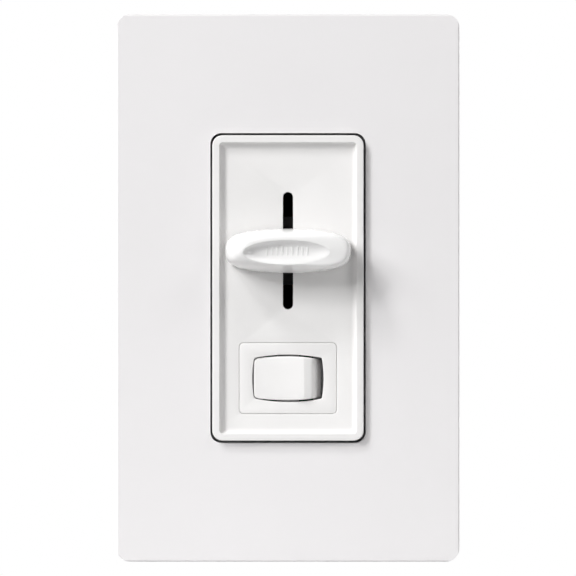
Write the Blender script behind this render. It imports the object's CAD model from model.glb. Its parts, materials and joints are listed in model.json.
import json
import math

import bmesh
import bpy
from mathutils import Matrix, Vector
from mathutils.geometry import tessellate_polygon


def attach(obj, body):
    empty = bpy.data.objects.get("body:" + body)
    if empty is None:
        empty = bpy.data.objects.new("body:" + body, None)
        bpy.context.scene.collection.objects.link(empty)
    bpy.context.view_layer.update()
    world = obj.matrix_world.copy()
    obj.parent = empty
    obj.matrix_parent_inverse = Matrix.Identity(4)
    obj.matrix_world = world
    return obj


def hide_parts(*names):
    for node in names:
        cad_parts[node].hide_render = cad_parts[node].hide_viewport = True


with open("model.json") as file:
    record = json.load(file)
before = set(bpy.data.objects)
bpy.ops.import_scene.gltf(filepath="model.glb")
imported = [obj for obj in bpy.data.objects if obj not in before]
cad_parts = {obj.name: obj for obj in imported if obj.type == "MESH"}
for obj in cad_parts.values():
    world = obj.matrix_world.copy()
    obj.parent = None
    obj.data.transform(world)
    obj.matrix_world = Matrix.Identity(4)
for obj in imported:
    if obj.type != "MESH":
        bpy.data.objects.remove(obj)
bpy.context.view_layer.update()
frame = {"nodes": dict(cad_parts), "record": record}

MM = 0.001
RNG_SEED = 7

# measures shared with the solids, in millimetres
FLOOR_Y = -7.6
SLIDE_Z = 8.1
ROCK_Z = -19.65
PIVOT_Y = -3.1
TILT = math.radians(8)
COVE_W = 1.2
DISH_D = 1.4
# rocker opening: half sizes, how far each side bulges, corner radii left and right
OPEN_A, OPEN_B, OPEN_BA, OPEN_BB, OPEN_RL, OPEN_RR, OPEN_X = 7.75, 5.15, 0.4, 0.73, 0.85, 0.5, 0.0


# ------------------------------------------------------------------ materials
def node_mat(name):
    m = bpy.data.materials.new(name)
    m.use_nodes = True
    nt = m.node_tree
    for n in list(nt.nodes):
        nt.nodes.remove(n)
    out = nt.nodes.new("ShaderNodeOutputMaterial")
    bsdf = nt.nodes.new("ShaderNodeBsdfPrincipled")
    nt.links.new(bsdf.outputs["BSDF"], out.inputs["Surface"])
    tc = nt.nodes.new("ShaderNodeTexCoord")
    return m, nt, bsdf, tc


def noise(nt, tc, per_m, detail=3.0, rough=0.55, stretch=(1, 1, 1)):
    mp = nt.nodes.new("ShaderNodeMapping")
    mp.inputs["Scale"].default_value = stretch
    nt.links.new(tc.outputs["Object"], mp.inputs["Vector"])
    n = nt.nodes.new("ShaderNodeTexNoise")
    n.inputs["Scale"].default_value = per_m
    n.inputs["Detail"].default_value = detail
    n.inputs["Roughness"].default_value = rough
    nt.links.new(mp.outputs["Vector"], n.inputs["Vector"])
    return n


def remap(nt, src, lo, hi, a=0.3, b=0.7):
    r = nt.nodes.new("ShaderNodeMapRange")
    r.inputs["From Min"].default_value = a
    r.inputs["From Max"].default_value = b
    r.inputs["To Min"].default_value = lo
    r.inputs["To Max"].default_value = hi
    nt.links.new(src, r.inputs["Value"])
    return r.outputs["Result"]


def mix_col(nt, fac, c1, c2):
    mx = nt.nodes.new("ShaderNodeMix")
    mx.data_type = "RGBA"
    if isinstance(fac, float):
        mx.inputs["Factor"].default_value = fac
    else:
        nt.links.new(fac, mx.inputs["Factor"])
    for sock, c in ((mx.inputs["A"], c1), (mx.inputs["B"], c2)):
        pass
    ins = [s for s in mx.inputs if s.type == "RGBA"]
    for s, c in zip(ins, (c1, c2)):
        if isinstance(c, (tuple, list)):
            s.default_value = (c[0], c[1], c[2], 1)
        else:
            nt.links.new(c, s)
    return [s for s in mx.outputs if s.type == "RGBA"][0]


def bump(nt, bsdf, src, dist_mm, strength=1.0, prev=None):
    b = nt.nodes.new("ShaderNodeBump")
    b.inputs["Strength"].default_value = strength
    b.inputs["Distance"].default_value = dist_mm * MM
    nt.links.new(src, b.inputs["Height"])
    if prev is not None:
        nt.links.new(prev, b.inputs["Normal"])
    nt.links.new(b.outputs["Normal"], bsdf.inputs["Normal"])
    return b.outputs["Normal"]


def plastic(name, col, rough=0.4, grain_mm=0.35, grain=0.01, var=0.02, blotch_mm=14, spec=0.5, rvar=0.06, coat=0.0):
    m, nt, bsdf, tc = node_mat(name)
    big = noise(nt, tc, 1000 / blotch_mm, 2)
    c1 = tuple(c * (1 - var) for c in col)
    c2 = tuple(min(1, c * (1 + var)) for c in col)
    nt.links.new(mix_col(nt, remap(nt, big.outputs["Fac"], 0, 1), c1, c2), bsdf.inputs["Base Color"])
    fine = noise(nt, tc, 1000 / grain_mm, 2)
    mid = noise(nt, tc, 1000 / (grain_mm * 9), 3)
    nt.links.new(remap(nt, mid.outputs["Fac"], rough - rvar, rough + rvar), bsdf.inputs["Roughness"])
    bsdf.inputs["Specular IOR Level"].default_value = spec
    if coat:
        bsdf.inputs["Coat Weight"].default_value = coat
        bsdf.inputs["Coat Roughness"].default_value = 0.12
    n1 = bump(nt, bsdf, fine.outputs["Fac"], grain, 0.6)
    bump(nt, bsdf, mid.outputs["Fac"], grain * 1.6, 0.35, n1)
    return m


def metal(name, col, rough=0.35, grain_mm=0.2, dirt=0.12, stretch=(1, 1, 1), grain=0.006, metallic=1.0):
    m, nt, bsdf, tc = node_mat(name)
    big = noise(nt, tc, 1000 / 6.0, 4)
    c1 = tuple(c * (1 - dirt) for c in col)
    nt.links.new(mix_col(nt, remap(nt, big.outputs["Fac"], 0, 1), c1, col), bsdf.inputs["Base Color"])
    bsdf.inputs["Metallic"].default_value = metallic
    fine = noise(nt, tc, 1000 / grain_mm, 3, 0.6, stretch)
    nt.links.new(remap(nt, fine.outputs["Fac"], rough - 0.08, rough + 0.1), bsdf.inputs["Roughness"])
    bump(nt, bsdf, fine.outputs["Fac"], grain, 0.5)
    return m


def plate_white():
    # matt moulded plate: fine spark texture, a faint warm drift towards the lower left
    m, nt, bsdf, tc = node_mat("plate_white")
    big = noise(nt, tc, 1000 / 30, 2)
    sep = nt.nodes.new("ShaderNodeSeparateXYZ")
    nt.links.new(tc.outputs["Object"], sep.inputs["Vector"])
    base = mix_col(nt, remap(nt, big.outputs["Fac"], 0, 1), (0.845, 0.83, 0.836), (0.855, 0.84, 0.846))
    nt.links.new(base, bsdf.inputs["Base Color"])
    fine = noise(nt, tc, 1000 / 0.28, 2)
    mid = noise(nt, tc, 1000 / 1.6, 3)
    nt.links.new(remap(nt, mid.outputs["Fac"], 0.52, 0.62), bsdf.inputs["Roughness"])
    bsdf.inputs["Specular IOR Level"].default_value = 0.35
    n1 = bump(nt, bsdf, fine.outputs["Fac"], 0.012, 0.7)
    bump(nt, bsdf, mid.outputs["Fac"], 0.01, 0.3, n1)
    return m


def knob_white():
    # polished white, with the slot's line carried over the top and bottom flanks
    m, nt, bsdf, tc = node_mat("gloss_white")
    big = noise(nt, tc, 1000 / 9, 2)
    base = mix_col(nt, remap(nt, big.outputs["Fac"], 0, 1), (0.90, 0.895, 0.89), (0.92, 0.915, 0.91))
    nt.links.new(base, bsdf.inputs["Base Color"])
    mid = noise(nt, tc, 1000 / 6, 2)
    nt.links.new(remap(nt, mid.outputs["Fac"], 0.1, 0.115), bsdf.inputs["Roughness"])
    bsdf.inputs["Specular IOR Level"].default_value = 0.5
    return m


def board_green():
    m, nt, bsdf, tc = node_mat("board_green")
    v = nt.nodes.new("ShaderNodeTexVoronoi")
    v.distance = "MANHATTAN"
    v.inputs["Scale"].default_value = 1000 / 4.5
    nt.links.new(tc.outputs["Object"], v.inputs["Vector"])
    fac = remap(nt, v.outputs["Distance"], 1, 0, 0.35, 0.42)
    nt.links.new(mix_col(nt, fac, (0.03, 0.16, 0.06), (0.05, 0.26, 0.09)), bsdf.inputs["Base Color"])
    mid = noise(nt, tc, 1000 / 0.8, 3)
    nt.links.new(remap(nt, mid.outputs["Fac"], 0.28, 0.42), bsdf.inputs["Roughness"])
    bump(nt, bsdf, v.outputs["Distance"], 0.03, 0.4)
    return m


def stranded(name, col, turn_mm):
    m, nt, bsdf, tc = node_mat(name)
    w = nt.nodes.new("ShaderNodeTexWave")
    w.wave_type = "BANDS"
    w.bands_direction = "DIAGONAL"
    w.inputs["Scale"].default_value = 1000 / turn_mm
    w.inputs["Distortion"].default_value = 0.6
    nt.links.new(tc.outputs["Object"], w.inputs["Vector"])
    c1 = tuple(c * 0.6 for c in col)
    nt.links.new(mix_col(nt, w.outputs["Fac"], c1, col), bsdf.inputs["Base Color"])
    bsdf.inputs["Metallic"].default_value = 1
    nt.links.new(remap(nt, w.outputs["Fac"], 0.42, 0.25, 0, 1), bsdf.inputs["Roughness"])
    bump(nt, bsdf, w.outputs["Fac"], 0.05, 0.6)
    return m


def banded(name, body_col, bands):
    # axial part with coloured bands across its X length; bands: (x0, x1, colour) in mm
    m, nt, bsdf, tc = node_mat(name)
    sep = nt.nodes.new("ShaderNodeSeparateXYZ")
    nt.links.new(tc.outputs["Object"], sep.inputs["Vector"])
    col = tuple(body_col)
    prev = None
    for x0, x1, c in bands:
        g = nt.nodes.new("ShaderNodeMath"); g.operation = "GREATER_THAN"
        g.inputs[1].default_value = x0 * MM
        l = nt.nodes.new("ShaderNodeMath"); l.operation = "LESS_THAN"
        l.inputs[1].default_value = x1 * MM
        nt.links.new(sep.outputs["X"], g.inputs[0]); nt.links.new(sep.outputs["X"], l.inputs[0])
        a = nt.nodes.new("ShaderNodeMath"); a.operation = "MULTIPLY"
        nt.links.new(g.outputs[0], a.inputs[0]); nt.links.new(l.outputs[0], a.inputs[1])
        prev = mix_col(nt, a.outputs[0], prev if prev is not None else col, c)
    nt.links.new(prev, bsdf.inputs["Base Color"])
    mid = noise(nt, tc, 1000 / 0.5, 3)
    nt.links.new(remap(nt, mid.outputs["Fac"], 0.3, 0.42), bsdf.inputs["Roughness"])
    bump(nt, bsdf, mid.outputs["Fac"], 0.01, 0.4)
    return m


def brushed(name, col, rough, stretch):
    return metal(name, col, rough, 0.12, 0.08, stretch, 0.004)


SLOTS = {
    "plate_white": plate_white(),
    "adapter_white": plastic("adapter_white", (0.74, 0.735, 0.72), 0.5, 0.4, 0.012, 0.02),
    "white_screw": plastic("white_screw", (0.72, 0.72, 0.7), 0.3, 0.3, 0.006, 0.03, 3),
    "satin_white": plastic("satin_white", (0.885, 0.875, 0.868), 0.36, 0.45, 0.006, 0.006, 18, 0.45, 0.04),
    "gloss_white": knob_white(),
    "black_acetal": plastic("black_acetal", (0.006, 0.0055, 0.0055), 0.55, 0.3, 0.01, 0.15, 4, 0.2),
    "spring_steel": metal("spring_steel", (0.55, 0.55, 0.57), 0.25, 0.1),
    "frame_aluminium": brushed("frame_aluminium", (0.66, 0.67, 0.69), 0.36, (1, 1, 0.03)),
    "zinc_steel": metal("zinc_steel", (0.6, 0.61, 0.62), 0.3, 0.25),
    "dark_fibre": plastic("dark_fibre", (0.05, 0.04, 0.033), 0.75, 0.18, 0.03, 0.25, 2, 0.2),
    "black_housing": plastic("black_housing", (0.018, 0.018, 0.02), 0.5, 0.35, 0.03, 0.2, 8, 0.4),
    "board_green": board_green(),
    "case_steel": brushed("case_steel", (0.5, 0.51, 0.52), 0.32, (0.04, 1, 1)),
    "track_brown": plastic("track_brown", (0.2, 0.09, 0.035), 0.45, 0.15, 0.01, 0.2, 1.5),
    "wiper_brass": metal("wiper_brass", (0.72, 0.5, 0.18), 0.25),
    "tinned": metal("tinned", (0.66, 0.66, 0.67), 0.3, 0.3),
    "black_epoxy": plastic("black_epoxy", (0.014, 0.014, 0.015), 0.55, 0.12, 0.015, 0.15, 3, 0.4),
    "tab_metal": metal("tab_metal", (0.6, 0.61, 0.62), 0.28, 0.2),
    "rivet_aluminium": metal("rivet_aluminium", (0.68, 0.68, 0.69), 0.3, 0.2),
    "pad_grey": plastic("pad_grey", (0.45, 0.45, 0.41), 0.7, 0.15, 0.01, 0.06, 2, 0.3),
    "core_yellow": plastic("core_yellow", (0.5, 0.42, 0.06), 0.45, 0.2, 0.012, 0.12, 2),
    "enamelled_copper": metal("enamelled_copper", (0.62, 0.22, 0.07), 0.22, 0.3, 0.2),
    "film_red": plastic("film_red", (0.45, 0.03, 0.02), 0.28, 0.8, 0.02, 0.08, 5),
    "film_orange": plastic("film_orange", (0.6, 0.24, 0.02), 0.3, 0.6, 0.015, 0.08, 4),
    "diac_blue": banded("diac_blue", (0.03, 0.08, 0.35), [(-13.1, -12.6, (0.6, 0.6, 0.6))]),
    "resistor_tan": banded("resistor_tan", (0.5, 0.34, 0.17), [(-14.4, -13.8, (0.25, 0.06, 0.01)), (-12.9, -12.4, (0.02, 0.02, 0.02)),
                                                           (-11.9, -11.4, (0.6, 0.35, 0.02)), (-9.6, -9.1, (0.6, 0.42, 0.1))]),
    "contact_copper": metal("contact_copper", (0.66, 0.33, 0.14), 0.28),
    "contact_silver": metal("contact_silver", (0.82, 0.82, 0.82), 0.22),
    "terminal_brass": metal("terminal_brass", (0.68, 0.46, 0.16), 0.3),
    "wire_black": plastic("wire_black", (0.01, 0.01, 0.01), 0.38, 0.5, 0.012, 0.2, 5, 0.45),
    "wire_green": plastic("wire_green", (0.01, 0.16, 0.04), 0.38, 0.5, 0.012, 0.1, 5, 0.45),
    "bare_copper": stranded("bare_copper", (0.72, 0.33, 0.16), 0.5),
}
SLOT_OF = {s["node"]: s["material_slot"] for s in frame["record"]["subparts"]}
BODY_OF = {}
for b, ns in frame["record"]["behaviour"]["bodies"].items():
    for n in ns:
        BODY_OF[n] = b

# ------------------------------------------------------------------ carried-over solids
BEVEL = {  # bevel width in mm by node; 0 leaves the edges as they are
    "front_cover": 0.3, "adapter_plate": 0.2, "yoke": 0.15, "back_housing": 0.35, "rocker_insert": 0.13,
    "circuit_board": 0.08, "insulating_sheet": 0.05, "thermal_pad": 0.05, "triac_body": 0.2, "triac_tab": 0.1,
    "filter_capacitor": 0.9, "timing_capacitor": 0.45, "pot_case": 0.35, "slide_carriage": 0.12, "slide_guide": 0.15,
    "pot_lever": 0.1, "pot_wiper": 0.04, "contact_arm": 0.08, "fixed_terminal": 0.08, "common_terminal": 0.1,
    "mounting_screws": 0.12, "housing_screws": 0.12, "adapter_screws": 0.1, "screw_retainers": 0.1, "resistors": 0.3,
    "trigger_diac": 0.3, "moving_contact": 0.1, "fixed_contact": 0.15, "triac_rivet": 0.2, "ground_rivet": 0.2,
    "ground_terminal": 0.1, "choke_core": 0.7, "pot_track": 0.05, "triac_leads": 0.06,
}
for name, o in frame["nodes"].items():
    o.data.materials.clear()
    o.data.materials.append(SLOTS[SLOT_OF[name]])
    for p in o.data.polygons:
        p.use_smooth = True
    w = o.modifiers.new("weld", "WELD")
    w.merge_threshold = 0.000002
    width = BEVEL.get(name, 0.05)
    if width:
        b = o.modifiers.new("edges", "BEVEL")
        b.width = width * MM
        b.segments = 3
        b.limit_method = "ANGLE"
        b.angle_limit = math.radians(38)
        b.use_clamp_overlap = True
        b.miter_outer = "MITER_ARC"
    n = o.modifiers.new("normals", "WEIGHTED_NORMAL")
    n.keep_sharp = False
    n.weight = 80


# ------------------------------------------------------------------ mesh helpers
def piece(name, bm, node, extra=(), sharp=None, mat=None, replaces=True):
    bmesh.ops.remove_doubles(bm, verts=bm.verts, dist=1e-7)
    bmesh.ops.recalc_face_normals(bm, faces=bm.faces)
    me = bpy.data.meshes.new(name)
    bm.to_mesh(me)
    bm.free()
    for p in me.polygons:
        p.use_smooth = True
    if sharp is not None:
        me.set_sharp_from_angle(angle=math.radians(sharp))
    o = bpy.data.objects.new(name, me)
    bpy.context.scene.collection.objects.link(o)
    me.materials.append(mat or SLOTS[SLOT_OF[node]])
    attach(o, BODY_OF[node])
    if replaces:
        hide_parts(node, *extra)
    return o


def V(x, y, z):
    return Vector((x * MM, y * MM, z * MM))


def add_ring(bm, pts):
    return [bm.verts.new(p) for p in pts]


def bridge(bm, a, b):
    n = len(a)
    for i in range(n):
        j = (i + 1) % n
        try:
            bm.faces.new((a[i], a[j], b[j], b[i]))
        except ValueError:
            pass


def cap(bm, ring):
    bm.faces.new(ring)


def cap_holes(bm, outer, holes):
    """Flat face with holes between existing rings of vertices."""
    loops = [outer] + holes
    flat = [v for l in loops for v in l]
    tris = tessellate_polygon([[(v.co.x, v.co.z, 0) for v in l] for l in loops])
    for t in tris:
        try:
            bm.faces.new([flat[i] for i in t])
        except ValueError:
            pass


def rr_pts(w, h, r, y, cx=0, cz=0, nc=10):
    pts = []
    r = max(r, 0.01)
    for k, (sx, sz) in enumerate(((1, 1), (-1, 1), (-1, -1), (1, -1))):
        for i in range(nc + 1):
            a = math.radians(90 * k + 90 * i / nc)
            pts.append(V(cx + sx * (w / 2 - r) + r * math.cos(a), y, cz + sz * (h / 2 - r) + r * math.sin(a)))
    return pts


def stadium_pts(w, h, y, cx=0, cz=0, n=16):
    pts = []
    r = w / 2
    for k, s in enumerate((1, -1)):
        for i in range(n + 1):
            a = math.radians(180 * k + 180 * i / n)
            pts.append(V(cx + r * math.cos(a), y, cz + s * (h / 2 - r) + r * math.sin(a)))
    return pts


def barrel_pts(a, b, ba, bb, rl, rr_, y, cx=0, cz=0, n=9, nc=7):
    """Outline with bulging sides: a, b half sizes at the corners' side; ba, bb the extra at mid-side."""
    A, B = a - 0.0, b - 0.0

    def side_x(z):
        return A + ba * (1 - (z / (B - bb)) ** 2) - ba

    def top_z(x):
        return B - bb * (x / (A - ba)) ** 2

    # corner circles, placed so they touch both curved sides
    out = []
    for k, (sx, sz) in enumerate(((1, 1), (-1, 1), (-1, -1), (1, -1))):
        r = rr_ if sx > 0 else rl
        x, z = A - ba - r, B - bb - r
        for _ in range(60):
            # slope of the sides near the corner
            nz = 2 * bb * (x / (A - ba) ** 2)
            nx = 2 * ba * (z / (B - bb) ** 2)
            px = x + r * 1 / math.hypot(1, nx)
            pz = z + r * 1 / math.hypot(1, nz)
            x += (side_x(z + r * nx / math.hypot(1, nx)) - px) * 0.7
            z += (top_z(x + r * nz / math.hypot(1, nz)) - pz) * 0.7
        a0 = math.atan2(nx, 1)
        a1 = math.pi / 2 - math.atan2(nz, 1)
        pts = []
        for i in range(nc + 1):
            t = a0 + (a1 - a0) * i / nc
            pts.append((sx * (x + r * math.cos(t)), sz * (z + r * math.sin(t))))
        if k in (1, 3):
            pts.reverse()
        out.append(pts)
    loop = []
    for k in range(4):
        loop += out[k]
        p, q = out[k][-1], out[(k + 1) % 4][0]
        for i in range(1, n):
            t = i / n
            if k in (0, 2):      # along top or bottom
                x = p[0] + (q[0] - p[0]) * t
                loop.append((x, math.copysign(top_z(x), p[1])))
            else:
                z = p[1] + (q[1] - p[1]) * t
                loop.append((math.copysign(side_x(z), p[0]), z))
    return [V(cx + x, y, cz + z) for x, z in loop]


def box_bm(bm, x0, x1, y0, y1, z0, z1, bev=0.15, seg=2):
    b2 = bmesh.new()
    vs = [b2.verts.new(V(x, y, z)) for x in (x0, x1) for y in (y0, y1) for z in (z0, z1)]
    for f in ((0, 1, 3, 2), (4, 6, 7, 5), (0, 4, 5, 1), (2, 3, 7, 6), (0, 2, 6, 4), (1, 5, 7, 3)):
        b2.faces.new([vs[i] for i in f])
    bmesh.ops.recalc_face_normals(b2, faces=b2.faces)
    if bev:
        bmesh.ops.bevel(b2, geom=b2.edges[:] , offset=bev * MM, segments=seg, profile=0.5, affect="EDGES", clamp_overlap=True)
    tmp = bpy.data.meshes.new("tmp")
    b2.to_mesh(tmp)
    b2.free()
    bm.from_mesh(tmp)
    bpy.data.meshes.remove(tmp)


def tube_bm(bm, path, r, seg=16, caps=True, closed=False):
    """Round tube along a list of points (mm), parallel-transport frame. r in mm, a number or a list."""
    P = [V(*p) for p in path]
    n = len(P)
    rs = r if isinstance(r, (list, tuple)) else [r] * n
    T = []
    for i in range(n):
        if closed:
            t = P[(i + 1) % n] - P[i - 1]
        else:
            t = P[min(i + 1, n - 1)] - P[max(i - 1, 0)]
        T.append(t.normalized())
    up = Vector((0, 0, 1)) if abs(T[0].z) < 0.9 else Vector((1, 0, 0))
    nrm = (up - T[0] * up.dot(T[0])).normalized()
    rings = []
    for i in range(n):
        nrm = (nrm - T[i] * nrm.dot(T[i])).normalized()
        bi = T[i].cross(nrm)
        rings.append([bm.verts.new(P[i] + (nrm * math.cos(2 * math.pi * k / seg) + bi * math.sin(2 * math.pi * k / seg)) * rs[i] * MM) for k in range(seg)])
    for i in range(n - 1):
        bridge(bm, rings[i], rings[i + 1])
    if closed:
        # match the last ring to the first by the nearest vertex
        a, b = rings[-1], rings[0]
        k = min(range(seg), key=lambda s: (b[s].co - a[0].co).length)
        bridge(bm, a, [b[(s + k) % seg] for s in range(seg)])
    elif caps:
        cap(bm, rings[0])
        cap(bm, rings[-1])
    return rings


def arc(n, a0, a1):
    return [math.radians(a0 + (a1 - a0) * i / n) for i in range(n + 1)]


# ------------------------------------------------------------------ bezel with a coved recess
def make_bezel():
    W, H, R = 32.9, 66.4, 2.2
    RIM_Y = FLOOR_Y - 1.3
    bm = bmesh.new()
    rings = []

    def add(inset_w, y, r):
        rings.append(add_ring(bm, rr_pts(W - 2 * inset_w, H - 2 * inset_w, r, y)))

    add(0, -1.62, R)
    add(0, RIM_Y + 0.5, R)
    f = 0.2
    for a in arc(6, 0, 90):
        add(f * (1 - math.cos(a)), RIM_Y + f * (1 - math.sin(a)), R - f * (1 - math.cos(a)))
    g = 0.12
    # rim inner edge
    add(1.57 - g * 3, RIM_Y, 0.7 + g * 3)
    for a in arc(4, 0, 84):
        add(1.57 - g * (1 - math.sin(a)), RIM_Y + g * (1 - math.cos(a)), 0.7 + g * (1 - math.sin(a)))
    # short steep wall, then the cove down to the panel
    y0 = RIM_Y + g
    add(1.6, y0 + 0.3, 0.68)
    cw, ch = COVE_W, FLOOR_Y - (y0 + 0.3)
    for a in arc(10, 8, 90):
        add(1.6 + cw * (1 - math.cos(a)), y0 + 0.3 + ch * math.sin(a), max(0.68 - 0.3 * (1 - math.cos(a)), 0.3))
    for a, b in zip(rings, rings[1:]):
        bridge(bm, a, b)
    front_outer = rings[-1]
    # slot and insert opening, with softened edges
    slot_r, ins_r = [], []
    for e, a0 in ((0.1, slot_r), (0.16, ins_r)):
        for a in arc(4, 0, 90):
            d, yy = e * (1 - math.sin(a)), FLOOR_Y + e * (1 - math.cos(a))
            if a0 is slot_r:
                a0.append(add_ring(bm, stadium_pts(2.2 + 2 * d, 25.5 + 2 * d, yy, 0, SLIDE_Z)))
            else:
                a0.append(add_ring(bm, rr_pts(21.25 + 2 * d, 15.5 + 2 * d, 1 + d, yy, 0, ROCK_Z)))
    slot_r.append(add_ring(bm, stadium_pts(2.2, 25.5, -5.8, 0, SLIDE_Z)))
    ins_r.append(add_ring(bm, rr_pts(21.25, 15.5, 1, -5.8, 0, ROCK_Z)))
    for rr_ in (slot_r, ins_r):
        for a, b in zip(rr_, rr_[1:]):
            bridge(bm, a, b)
    cap_holes(bm, front_outer, [slot_r[0], ins_r[0]])
    back = add_ring(bm, rr_pts(W - 3.1, H - 3.1, 0.9, -5.8))
    cap_holes(bm, back, [slot_r[-1], ins_r[-1]])
    back2 = add_ring(bm, rr_pts(W - 3.1, H - 3.1, 0.9, -1.62))
    bridge(bm, back, back2)
    bridge(bm, back2, rings[0])
    for sx in (-1, 1):
        for z in (9, -8):
            box_bm(bm, sx * 15.65 - 0.7, sx * 15.65 + 0.7, -2.6, 1.3, z - 2, z + 2, 0.12)
            box_bm(bm, sx * 16.1 - 0.69, sx * 16.1 + 0.69, 0.06, 1, z - 1.98, z + 1.98, 0.2)
    return piece("bezel_shell", bm, "bezel", sharp=50)


def make_insert():
    bm = bmesh.new()
    W, H, R = 21.13, 15.38, 0.95
    e = 0.16
    outer = []
    for a in arc(4, 90, 0):
        d = e * (1 - math.sin(a))
        # front face edge first
        outer.append(add_ring(bm, rr_pts(W - 2 * e + 2 * e * math.cos(a), H - 2 * e + 2 * e * math.cos(a), R - e + e * math.cos(a), FLOOR_Y + d, 0, ROCK_Z)))
    outer.append(add_ring(bm, rr_pts(20.95, 15.2, 0.9, FLOOR_Y + 0.5, 0, ROCK_Z)))
    outer.append(add_ring(bm, rr_pts(20.95, 15.2, 0.9, -5.77, 0, ROCK_Z)))
    outer.append(add_ring(bm, rr_pts(26.4, 18.4, 1, -5.77, 0, ROCK_Z)))
    outer.append(add_ring(bm, rr_pts(26.4, 18.4, 1, -4.3, 0, ROCK_Z)))
    outer.append(add_ring(bm, rr_pts(20.95, 15.2, 0.9, -4.3, 0, ROCK_Z)))
    outer.append(add_ring(bm, rr_pts(20.95, 15.2, 0.9, -1.65, 0, ROCK_Z)))
    for a, b in zip(outer, outer[1:]):
        bridge(bm, a, b)
    inner = []
    c = 0.14
    for a in arc(3, 0, 90):
        d = c * (1 - math.sin(a))
        inner.append(add_ring(bm, barrel_pts(OPEN_A + d, OPEN_B + d, OPEN_BA, OPEN_BB, OPEN_RL, OPEN_RR, FLOOR_Y + c * (1 - math.cos(a)), OPEN_X, ROCK_Z)))
    inner.append(add_ring(bm, barrel_pts(OPEN_A, OPEN_B, OPEN_BA, OPEN_BB, OPEN_RL, OPEN_RR, -6.5, OPEN_X, ROCK_Z)))
    for a, b in zip(inner, inner[1:]):
        bridge(bm, a, b)
    cap_holes(bm, outer[0], [inner[0]])
    pk = add_ring(bm, rr_pts(18.99, 10.89, 0.3, -6.5, 0, ROCK_Z))
    cap_holes(bm, pk, [inner[-1]])
    pk2 = add_ring(bm, rr_pts(18.99, 10.89, 0.3, -1.65, 0, ROCK_Z))
    bridge(bm, pk, pk2)
    bridge(bm, pk2, outer[-1])
    # bosses with the trunnion bores, behind the panel
    for s in (-1, 1):
        n = 40
        za, zb = ROCK_Z + s * 5.46, ROCK_Z + s * 7.3
        rg = []
        for rad, z in ((1.55, za), (2.9, za), (2.9, zb), (1.55, zb), (1.55, za)):
            if len(rg) == 4:
                rg.append(rg[0])
                continue
            rg.append(add_ring(bm, [V(rad * math.cos(2 * math.pi * k / n), PIVOT_Y + rad * math.sin(2 * math.pi * k / n), z) for k in range(n)]))
        for a, b in zip(rg, rg[1:]):
            bridge(bm, a, b)
    return piece("insert_body", bm, "rocker_insert", sharp=50)


# ------------------------------------------------------------------ slider knob
def spline_closed(pts, n):
    """Evenly spaced points on a closed Catmull-Rom curve."""
    m = len(pts)
    fine = []
    for i in range(m):
        a, b, c, d = (pts[(i + k - 1) % m] for k in range(4))
        for k in range(24):
            t = k / 24
            fine.append(tuple(0.5 * (2 * b[j] + (c[j] - a[j]) * t + (2 * a[j] - 5 * b[j] + 4 * c[j] - d[j]) * t * t
                                     + (3 * b[j] - a[j] - 3 * c[j] + d[j]) * t ** 3) for j in (0, 1)))
    L = [0.0]
    for i in range(len(fine)):
        p, q = fine[i], fine[(i + 1) % len(fine)]
        L.append(L[-1] + math.hypot(q[0] - p[0], q[1] - p[1]))
    out, j = [], 0
    for i in range(n):
        d = L[-1] * i / n
        while L[j + 1] < d:
            j += 1
        t = (d - L[j]) / (L[j + 1] - L[j])
        p, q = fine[j], fine[(j + 1) % len(fine)]
        out.append((p[0] + (q[0] - p[0]) * t, p[1] + (q[1] - p[1]) * t))
    return out


KNOB_Q = [(13.66, 0), (13.62, 0.8), (13.44, 1.6), (13.12, 2.22), (12.55, 2.8), (11.9, 3.22), (11.1, 3.58), (10.0, 3.92),
          (8, 4.3), (6, 4.54), (4, 4.70), (2, 4.79), (0, 4.82)]


def smooth01(t):
    t = min(max(t, 0), 1)
    return t * t * (3 - 2 * t)


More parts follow.
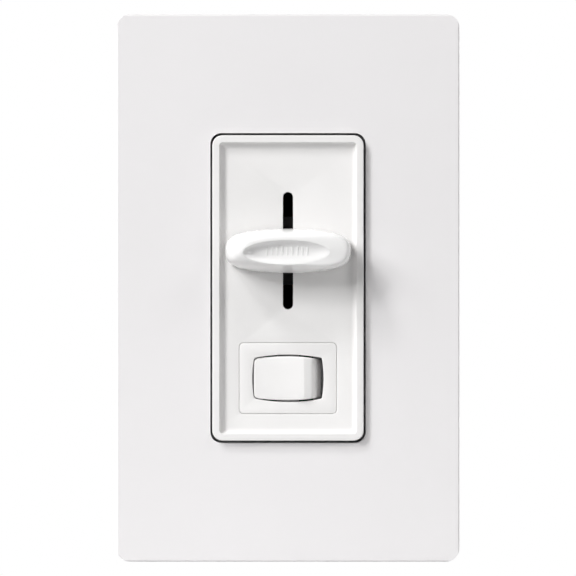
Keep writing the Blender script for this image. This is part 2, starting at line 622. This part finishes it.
def make_knob():
    KB, KF = FLOOR_Y - 0.5, FLOOR_Y - 8.6
    AR, BR, CX, CZ = 9.45, 2.68, -0.3, -0.36     # dish rim and where it is centred
    q = KNOB_Q
    loop = [(x, z) for x, z in q] + [(-x, z) for x, z in reversed(q[:-1])] + [(-x, -z) for x, z in q[1:]] + [(x, -z) for x, z in reversed(q[1:-1])]
    N = 208
    outline = spline_closed(loop, N)
    rim = []
    for px, pz in outline:
        # the rim point the flank leans towards
        ang = math.atan2(pz * 2.35, px)
        rim.append((CX + AR * math.cos(ang), CZ + BR * math.sin(ang), ang))
    bm = bmesh.new()
    rings = []

    def ring(fn):
        rings.append(add_ring(bm, [V(*fn(i)) for i in range(N)]))

    # soft rear corner
    for inset, y in ((0.35, KB), (0.16, KB - 0.05), (0.04, KB - 0.17), (0.0, KB - 0.34)):
        def f0(i, inset=inset, y=y):
            ax, az = outline[i]
            l = math.hypot(ax / 2.8, az)
            return ax - ax / 2.8 / l * inset, y, SLIDE_Z + az - az / l * inset
        ring(f0)
    # leaning flank: how square its shoulder is changes round the knob
    steps = 30
    HB = KB - 0.34

    def rim_y(ang):
        # the lip stands highest above and sinks towards the lower side
        return KF + 0.8 * smooth01((0.3 - math.sin(ang)) / 1.3)

    def shape(i):
        ang = rim[i][2]
        up = smooth01((math.sin(ang) + 0.25) / 0.9)
        side = abs(math.cos(ang)) ** 3
        right = 1 if math.cos(ang) > 0 else 0
        p = 1.3 + 1.5 * up + 0.6 * min(math.cos(ang), 0) ** 2
        p = p * (1 - side) + (2.0 + 8.5 * right) * side
        qq = 1.25 + 0.5 * up + 0.2 * min(math.cos(ang), 0) ** 2
        qq = qq * (1 - side) + (1.75 + 5.2 * right) * side
        return p, qq

    for k in range(1, steps + 1):
        t = k / steps
        a = math.radians(90) * (1 - (1 - t) ** 1.25)

        def f1(i, a=a):
            ax, az = outline[i]
            rx, rz, ang = rim[i]
            p, qq = shape(i)
            rho = math.cos(a) ** (2 / p) if a < math.radians(89.99) else 0.0
            f = math.sin(a) ** (2 / qq)
            top = rim_y(ang)
            return rx + (ax - rx) * rho, HB + (top - HB) * f, SLIDE_Z + rz + (az - rz) * rho
        ring(f1)
    # over the rim and down into the dish: a wall that is high above and at the left and runs out below and right
    def floor_of(u, w):
        return KF + DISH_D - 0.22 * ((u / AR) ** 2 + (w / BR) ** 2) + 0.1 * w / BR - 0.3 * u / AR - 0.1

    def dish(v):
        def f2(i):
            rx, rz, ang = rim[i]
            u, w = (rx - CX) * (1 - v), (rz - CZ) * (1 - v)
            dist = v / math.hypot(math.cos(ang) / AR, math.sin(ang) / BR)
            t = min(v / (0.3 + 0.25 * math.sin(ang) ** 2 + 0.14 * max(math.cos(ang), 0) ** 2), 1)
            up = smooth01((0.8 * math.sin(ang) - 0.6 * math.cos(ang) + 0.45) / 0.8)
            roll = 1 - math.exp(-dist / (0.05 + 0.2 * (1 - up)))
            top = rim_y(ang)
            y = top + (floor_of(u, w) - top) * (1 - (1 - t) ** 2.2) * roll
            return CX + u, y, SLIDE_Z + CZ + w
        ring(f2)

    for v in (0.004, 0.009, 0.015, 0.022, 0.031, 0.042, 0.055, 0.07, 0.088, 0.109, 0.133, 0.16, 0.19, 0.225, 0.265, 0.31, 0.36,
              0.415, 0.475, 0.54, 0.61, 0.69, 0.78, 0.88):
        dish(v)
    for a, b in zip(rings, rings[1:]):
        bridge(bm, a, b)
    # close the floor with a centre point
    c = bm.verts.new(V(CX, floor_of(0, 0), SLIDE_Z + CZ))
    last = rings[-1]
    for i in range(N):
        bm.faces.new((last[i], last[(i + 1) % N], c))
    # back of the knob: a shallow hollow
    inner = [add_ring(bm, [V(ax * 0.86, KB, SLIDE_Z + az * 0.68) for ax, az in outline])]
    inner.append(add_ring(bm, [V(ax * 0.82, KB - 4.6, SLIDE_Z + az * 0.52) for ax, az in outline]))
    bridge(bm, rings[0], inner[0])
    bridge(bm, inner[0], inner[1])
    cap(bm, inner[1])
    # grip ribs standing in the dish
    for i in range(9):
        x = (i - 4) * 1.1 - 0.15
        yb = floor_of(x - CX, 0.2)
        box_bm(bm, x - 0.2, x + 0.2, yb - 0.075, yb + 0.5, SLIDE_Z - 1.0, SLIDE_Z + 0.8, 0.07, 3)
    # stem through the slot
    st = [add_ring(bm, stadium_pts(1.9, 5.0, y, 0, SLIDE_Z, 10)) for y in (KB - 5.0, -3.72)]
    bridge(bm, st[0], st[1])
    cap(bm, st[0])
    cap(bm, st[1])
    return piece("knob_body", bm, "slider_knob", sharp=55)


# ------------------------------------------------------------------ rocker
def make_rocker():
    # top line of the cap at rest, x and y relative to the pivot
    prof = []
    x0, y0, x1, y1 = -7.42, -4.25, 3.42, -5.27
    m = 26
    for i in range(m + 1):
        t = i / m
        x = x0 + (x1 - x0) * t
        y = y0 + (y1 - y0) * t
        y += 4 * 0.24 * t * (1 - t)
        prof.append((x, y))
    prof += [(3.52, -5.275), (3.66, -5.25), (4.1, -5.16), (4.65, -5.07), (5.0, -4.98), (5.27, -4.84), (5.5, -4.6), (5.74, -4.2),
             (5.98, -3.7), (6.22, -3.16), (6.46, -2.6), (6.7, -2.08), (6.94, -1.62), (7.15, -1.22)]
    # soften the left end
    prof = [(-7.44, -3.9), (-7.43, -4.1), (-7.38, -4.2), (-7.28, -4.255), (-7.1, -4.27)] + [p for p in prof if p[0] > -7.0]

    def half_h(x):
        h = 4.77 - 0.5 * ((x + 0.3) / 7.2) ** 2
        if x > 2.8:
            h -= 0.16 * ((x - 2.8) / 4.0) ** 1.5
        # rounded outline corners at the left
        r = 0.8
        d = x + 7.44
        if d < r:
            h -= r - math.sqrt(max(r * r - (r - d) ** 2, 0))
        return h

    bm = bmesh.new()
    rings = []
    f = 0.3
    for x, y in prof:
        h = half_h(x)
        yb = -0.75
        pts = [(yb, -h), (y + f, -h)]
        for a in arc(5, 0, 90)[1:]:
            pts.append((y + f - f * math.sin(a), -h + f * (1 - math.cos(a))))
        pts += [(y, -h * 0.5), (y, 0), (y, h * 0.5)]
        for a in arc(5, 90, 0)[:-1]:
            pts.append((y + f - f * math.sin(a), h - f * (1 - math.cos(a))))
        pts += [(y + f, h), (yb, h)]
        pts += [(yb, h * 0.3), (yb, -h * 0.3)]
        rings.append(add_ring(bm, [V(x, PIVOT_Y + yy, ROCK_Z + z) for yy, z in pts]))
    for a, b in zip(rings, rings[1:]):
        bridge(bm, a, b)
    cap(bm, rings[0])
    cap(bm, rings[-1])

    def loc(px, py):
        c, s = math.cos(TILT), math.sin(TILT)
        return px * c - py * s, PIVOT_Y + px * s + py * c

    # hub and trunnions
    for r, h in ((2.4, 5.3), (1.5, 6.9)):
        rg = []
        for z, rr_ in ((-h, r - 0.2), (-h + 0.2, r), (h - 0.2, r), (h, r - 0.2)):
            rg.append(add_ring(bm, [V(rr_ * math.cos(2 * math.pi * k / 40), PIVOT_Y + rr_ * math.sin(2 * math.pi * k / 40), ROCK_Z + z) for k in range(40)]))
        for a, b in zip(rg, rg[1:]):
            bridge(bm, a, b)
        cap(bm, rg[0])
        cap(bm, rg[-1])
    # tail, with a bore for the spring and plunger
    def sq(s, py, r=0.3, nc=4):
        pts = []
        for k, (sx, sz) in enumerate(((1, 1), (-1, 1), (-1, -1), (1, -1))):
            for i in range(nc + 1):
                a = math.radians(90 * k + 90 * i / nc)
                x, y = loc(sx * (s - r) + r * math.cos(a), py)
                pts.append(V(x, y, ROCK_Z + sz * (s - r) + r * math.sin(a)))
        return add_ring(bm, pts)

    def circ(rad, py, nc=4):
        pts = []
        for k in range(4):
            for i in range(nc + 1):
                a = math.radians(90 * k + 90 * (i + 0.5) / (nc + 1))
                x, y = loc(rad * math.cos(a), py)
                pts.append(V(x, y, ROCK_Z + rad * math.sin(a)))
        return add_ring(bm, pts)

    tr = [sq(1.9, 0.2), sq(1.9, 11.85), sq(1.78, 12.0), circ(1.4, 12.0), circ(1.32, 11.9), circ(1.32, 8.6)]
    for a, b in zip(tr, tr[1:]):
        bridge(bm, a, b)
    cap(bm, tr[0])
    cap(bm, tr[-1])
    return piece("rocker_cap", bm, "rocker", sharp=40)


def make_plunger():
    bm = bmesh.new()
    c, s = math.cos(TILT), math.sin(TILT)
    path, rad = [], []
    for y, r in ((10.4, 1.12), (10.5, 1.27), (12.5, 1.27), (14.63, 1.27)):
        path.append(y), rad.append(r)
    for a in arc(8, 0, 86)[1:]:
        path.append(14.63 + 1.27 * math.sin(a)), rad.append(1.27 * math.cos(a))
    tube_bm(bm, [(-y * s, PIVOT_Y + y * c, ROCK_Z) for y in path], rad, 28)
    return piece("plunger_pin", bm, "rocker_plunger", sharp=50)


def make_spring():
    bm = bmesh.new()
    c, s = math.cos(TILT), math.sin(TILT)
    pts = []
    turns, n = 4.6, 150
    for i in range(n + 1):
        t = i / n
        a = 2 * math.pi * turns * t
        y = 8.75 + 1.48 * t
        lx, lz = math.cos(a), math.sin(a)
        pts.append((lx * c - y * s, PIVOT_Y + lx * s + y * c, ROCK_Z + lz))
    tube_bm(bm, pts, 0.12, 8)
    return piece("spring_coil", bm, "rocker_spring", sharp=60)


# ------------------------------------------------------------------ choke winding
def make_winding():
    bm = bmesh.new()
    cx, cy, cz = -12.5, 14.6, 19.8
    r_in, r_out, hh, wr = 3.6, 6.5, 3.2, 0.3
    turns = 26
    path = []
    per = 20
    total = turns * per
    for i in range(total + 1):
        t = i / total
        phi = math.radians(-66 - 312 * t)
        a = 2 * math.pi * (i % per) / per
        # rounded rectangle round the core's section
        cr, hr = (r_out - r_in) / 2 + wr + 0.02, hh + wr + 0.02
        ca, sa = math.cos(a), math.sin(a)
        k = 1 / (abs(ca) ** 6 + abs(sa) ** 6) ** (1 / 6)
        rad = (r_in + r_out) / 2 + cr * ca * k
        yy = hr * sa * k
        path.append((cx + rad * math.cos(phi), cy + yy, cz + rad * math.sin(phi)))
    tube_bm(bm, path, wr, 8)
    for x in (-15.5, -9.5):
        tube_bm(bm, [(x, 17.9, 12.9), (x, 18.6, 12.2), (x, 19.4, 12.0), (x, 22.2, 12.0)], 0.33, 8)
    return piece("winding_wire", bm, "choke_winding", sharp=60)


# ------------------------------------------------------------------ wire leads
def smooth_path(ctrl, n=12):
    """Catmull-Rom through the control points."""
    P = [Vector(c) for c in ctrl]
    P = [P[0] * 2 - P[1]] + P + [P[-1] * 2 - P[-2]]
    out = []
    for i in range(1, len(P) - 2):
        for k in range(n):
            t = k / n
            a, b, c, d = P[i - 1], P[i], P[i + 1], P[i + 2]
            out.append(0.5 * ((2 * b) + (c - a) * t + (2 * a - 5 * b + 4 * c - d) * t * t + (3 * b - a - 3 * c + d) * t ** 3))
    out.append(P[-2])
    return [tuple(v) for v in out]


LEAD_END = 72.0
OFF = 14 * math.sin(math.radians(14))


def make_leads():
    for s, node, cnode in ((-1, "line_lead", "line_conductor"), (1, "load_lead", "load_conductor")):
        th = math.radians(30 if s > 0 else 150)
        ex, ez = s * 9 + OFF * math.cos(th), -27.5 - OFF * math.sin(th)
        x0, z0 = s * 9, -27.5
        ctrl = [(x0, 21.3, z0), (x0, 30, z0), (x0, 36, z0), (x0 + (ex - x0) * 0.18, 40, z0 + (ez - z0) * 0.18),
                (x0 + (ex - x0) * 0.82, 49.5, z0 + (ez - z0) * 0.82), (ex, 54, ez), (ex, 62, ez), (ex, LEAD_END - 0.15, ez)]
        bm = bmesh.new()
        pts = smooth_path(ctrl, 10)
        rad = [1.45] * len(pts)
        pts.append((ex, LEAD_END, ez))
        rad.append(1.3)
        rings = tube_bm(bm, pts, rad, 28, caps=False)
        cap(bm, rings[0])
        e1 = add_ring(bm, [V(ex, LEAD_END, ez) + (v.co - V(ex, LEAD_END, ez)) * (0.86 / 1.3) for v in rings[-1]])
        e2 = add_ring(bm, [v.co + Vector((0, -4 * MM, 0)) for v in e1])
        bridge(bm, rings[-1], e1)
        bridge(bm, e1, e2)
        cap(bm, e2)
        piece(node + "_jacket", bm, node, sharp=50)
        strands(cnode, ex, ez)
    # ground lead
    gx, gz = -31.0, -38.6
    ctrl = [(-18.9, 1.93, gz), (-22, 1.93, gz), (-25, 1.93, gz)]
    for a in arc(6, 0, 90):
        ctrl.append((-25 - 6 * math.sin(a), 7.93 - 6 * math.cos(a), gz))
    ctrl += [(gx, 16, gz), (gx, 30, gz), (gx, 50, gz), (gx, LEAD_END - 0.15, gz)]
    bm = bmesh.new()
    pts = smooth_path(ctrl, 6)
    rad = [1.45] * len(pts)
    pts.append((gx, LEAD_END, gz))
    rad.append(1.3)
    rings = tube_bm(bm, pts, rad, 28, caps=False)
    cap(bm, rings[0])
    e1 = add_ring(bm, [V(gx, LEAD_END, gz) + (v.co - V(gx, LEAD_END, gz)) * (0.86 / 1.3) for v in rings[-1]])
    e2 = add_ring(bm, [v.co + Vector((0, -4 * MM, 0)) for v in e1])
    bridge(bm, rings[-1], e1)
    bridge(bm, e1, e2)
    cap(bm, e2)
    piece("ground_lead_jacket", bm, "ground_lead", sharp=50)
    strands("ground_conductor", gx, gz)


def strands(node, cx, cz):
    """Seven twisted copper strands, as a bundle of the conductor's radius."""
    bm = bmesh.new()
    y0, y1 = LEAD_END - 3.9, LEAD_END + 11.5
    n = 48
    tube_bm(bm, [(cx, y0 + (y1 - y0) * i / 6, cz) for i in range(7)], 0.26, 10)
    for k in range(6):
        pts = []
        for i in range(n + 1):
            t = i / n
            a = 2 * math.pi * (k / 6 + 1.1 * t)
            pts.append((cx + 0.53 * math.cos(a), y0 + (y1 - y0) * t, cz + 0.53 * math.sin(a)))
        tube_bm(bm, pts, 0.27, 10)
    piece(node + "_strands", bm, node, sharp=60)


make_bezel()
make_insert()
make_knob()
make_rocker()
make_plunger()
make_spring()
make_winding()
make_leads()

# ------------------------------------------------------------------ floor, light, camera
AMB = 0.005
# soft lamps: degrees off the front, degrees round from the right, watts, size in metres
LAMPS = [("lamp_a", 58, 135, 9.7, 0.31), ("lamp_b", 68, 122, 11.1, 0.31), ("lamp_c", 58, 150, 4.0, 0.31), ("lamp_d", 40, 135, 3.35, 0.31),
         ("lamp_e", 48, 144, 4.0, 0.51), ("lamp_f", 68, 150, 3.6, 0.51), ("lamp_g", 68, 40, 3.9, 0.51),
         ("lamp_h", 48, 0, 2.7, 0.51), ("lamp_i", 26, 300, 2.6, 0.51)]
fm, nt, bsdf, tc = node_mat("floor_pale")
fn = noise(nt, tc, 40, 3)
nt.links.new(mix_col(nt, remap(nt, fn.outputs["Fac"], 0, 1), (0.62, 0.62, 0.62), (0.64, 0.64, 0.64)), bsdf.inputs["Base Color"])
nt.links.new(remap(nt, fn.outputs["Fac"], 0.7, 0.8), bsdf.inputs["Roughness"])
bsdf.inputs["Specular IOR Level"].default_value = 0.2
bm = bmesh.new()
circle = [Vector((0.3 * math.cos(2 * math.pi * k / 96), 0.3 * math.sin(2 * math.pi * k / 96), -0.070)) for k in range(96)]
bm.faces.new([bm.verts.new(p) for p in circle])
me = bpy.data.meshes.new("floor")
bm.to_mesh(me)
bm.free()
floor = bpy.data.objects.new("floor", me)
me.materials.append(fm)
bpy.context.scene.collection.objects.link(floor)

scene = bpy.context.scene
world = bpy.data.worlds.new("studio")
scene.world = world
world.use_nodes = True
wt = world.node_tree
for n in list(wt.nodes):
    wt.nodes.remove(n)
wo = wt.nodes.new("ShaderNodeOutputWorld")
bg_cam = wt.nodes.new("ShaderNodeBackground")
bg_cam.inputs["Color"].default_value = (1, 1, 1, 1)
bg_cam.inputs["Strength"].default_value = 1.0
bg_amb = wt.nodes.new("ShaderNodeBackground")
bg_amb.inputs["Color"].default_value = (1.0, 1.0, 1.0, 1)
bg_amb.inputs["Strength"].default_value = AMB
lp = wt.nodes.new("ShaderNodeLightPath")
mxs = wt.nodes.new("ShaderNodeMixShader")
wt.links.new(lp.outputs["Is Camera Ray"], mxs.inputs["Fac"])
wt.links.new(bg_amb.outputs["Background"], mxs.inputs[1])
wt.links.new(bg_cam.outputs["Background"], mxs.inputs[2])
wt.links.new(mxs.outputs["Shader"], wo.inputs["Surface"])


def lamp(name, d, dist, size, watts):
    l = bpy.data.lights.new(name, "AREA")
    l.shape = "DISK"
    l.size = size
    l.energy = watts
    o = bpy.data.objects.new(name, l)
    bpy.context.scene.collection.objects.link(o)
    d = Vector(d).normalized()
    o.location = d * dist
    o.rotation_mode = "QUATERNION"
    o.rotation_quaternion = d.to_track_quat("Z", "Y")
    return o


for nm, th, az, watts, size in LAMPS:
    t, a = math.radians(th), math.radians(az)
    lamp(nm, (math.sin(t) * math.cos(a), -math.cos(t), math.sin(t) * math.sin(a)), 1.7, size, watts)
# these two only reach the wall side
lamp("rear_a", (0.7, 1.0, 0.1), 1.2, 0.4, 6.0)
lamp("rear_b", (-1.0, 1.0, 0.05), 1.2, 0.4, 4.0)
lamp("side_a", (1.0, 0.3, 0.07), 1.5, 0.5, 6.0)
lamp("side_b", (-1.0, 0.3, 0.07), 1.5, 0.5, 4.0)

cam_data = bpy.data.cameras.new("camera")
cam = bpy.data.objects.new("camera", cam_data)
bpy.context.scene.collection.objects.link(cam)
cam_data.type = "PERSP"
cam_data.sensor_width = 36
DIST = 3.0
cam_data.lens = 36 * DIST / 0.1253
cam_data.clip_start = 0.1
cam_data.clip_end = 20
cam.location = (0.0, FLOOR_Y * MM - DIST, 0.0)
cam.rotation_euler = (math.radians(90), 0, 0)
scene.camera = cam
scene.view_settings.view_transform = "Standard"
scene.view_settings.look = "None"
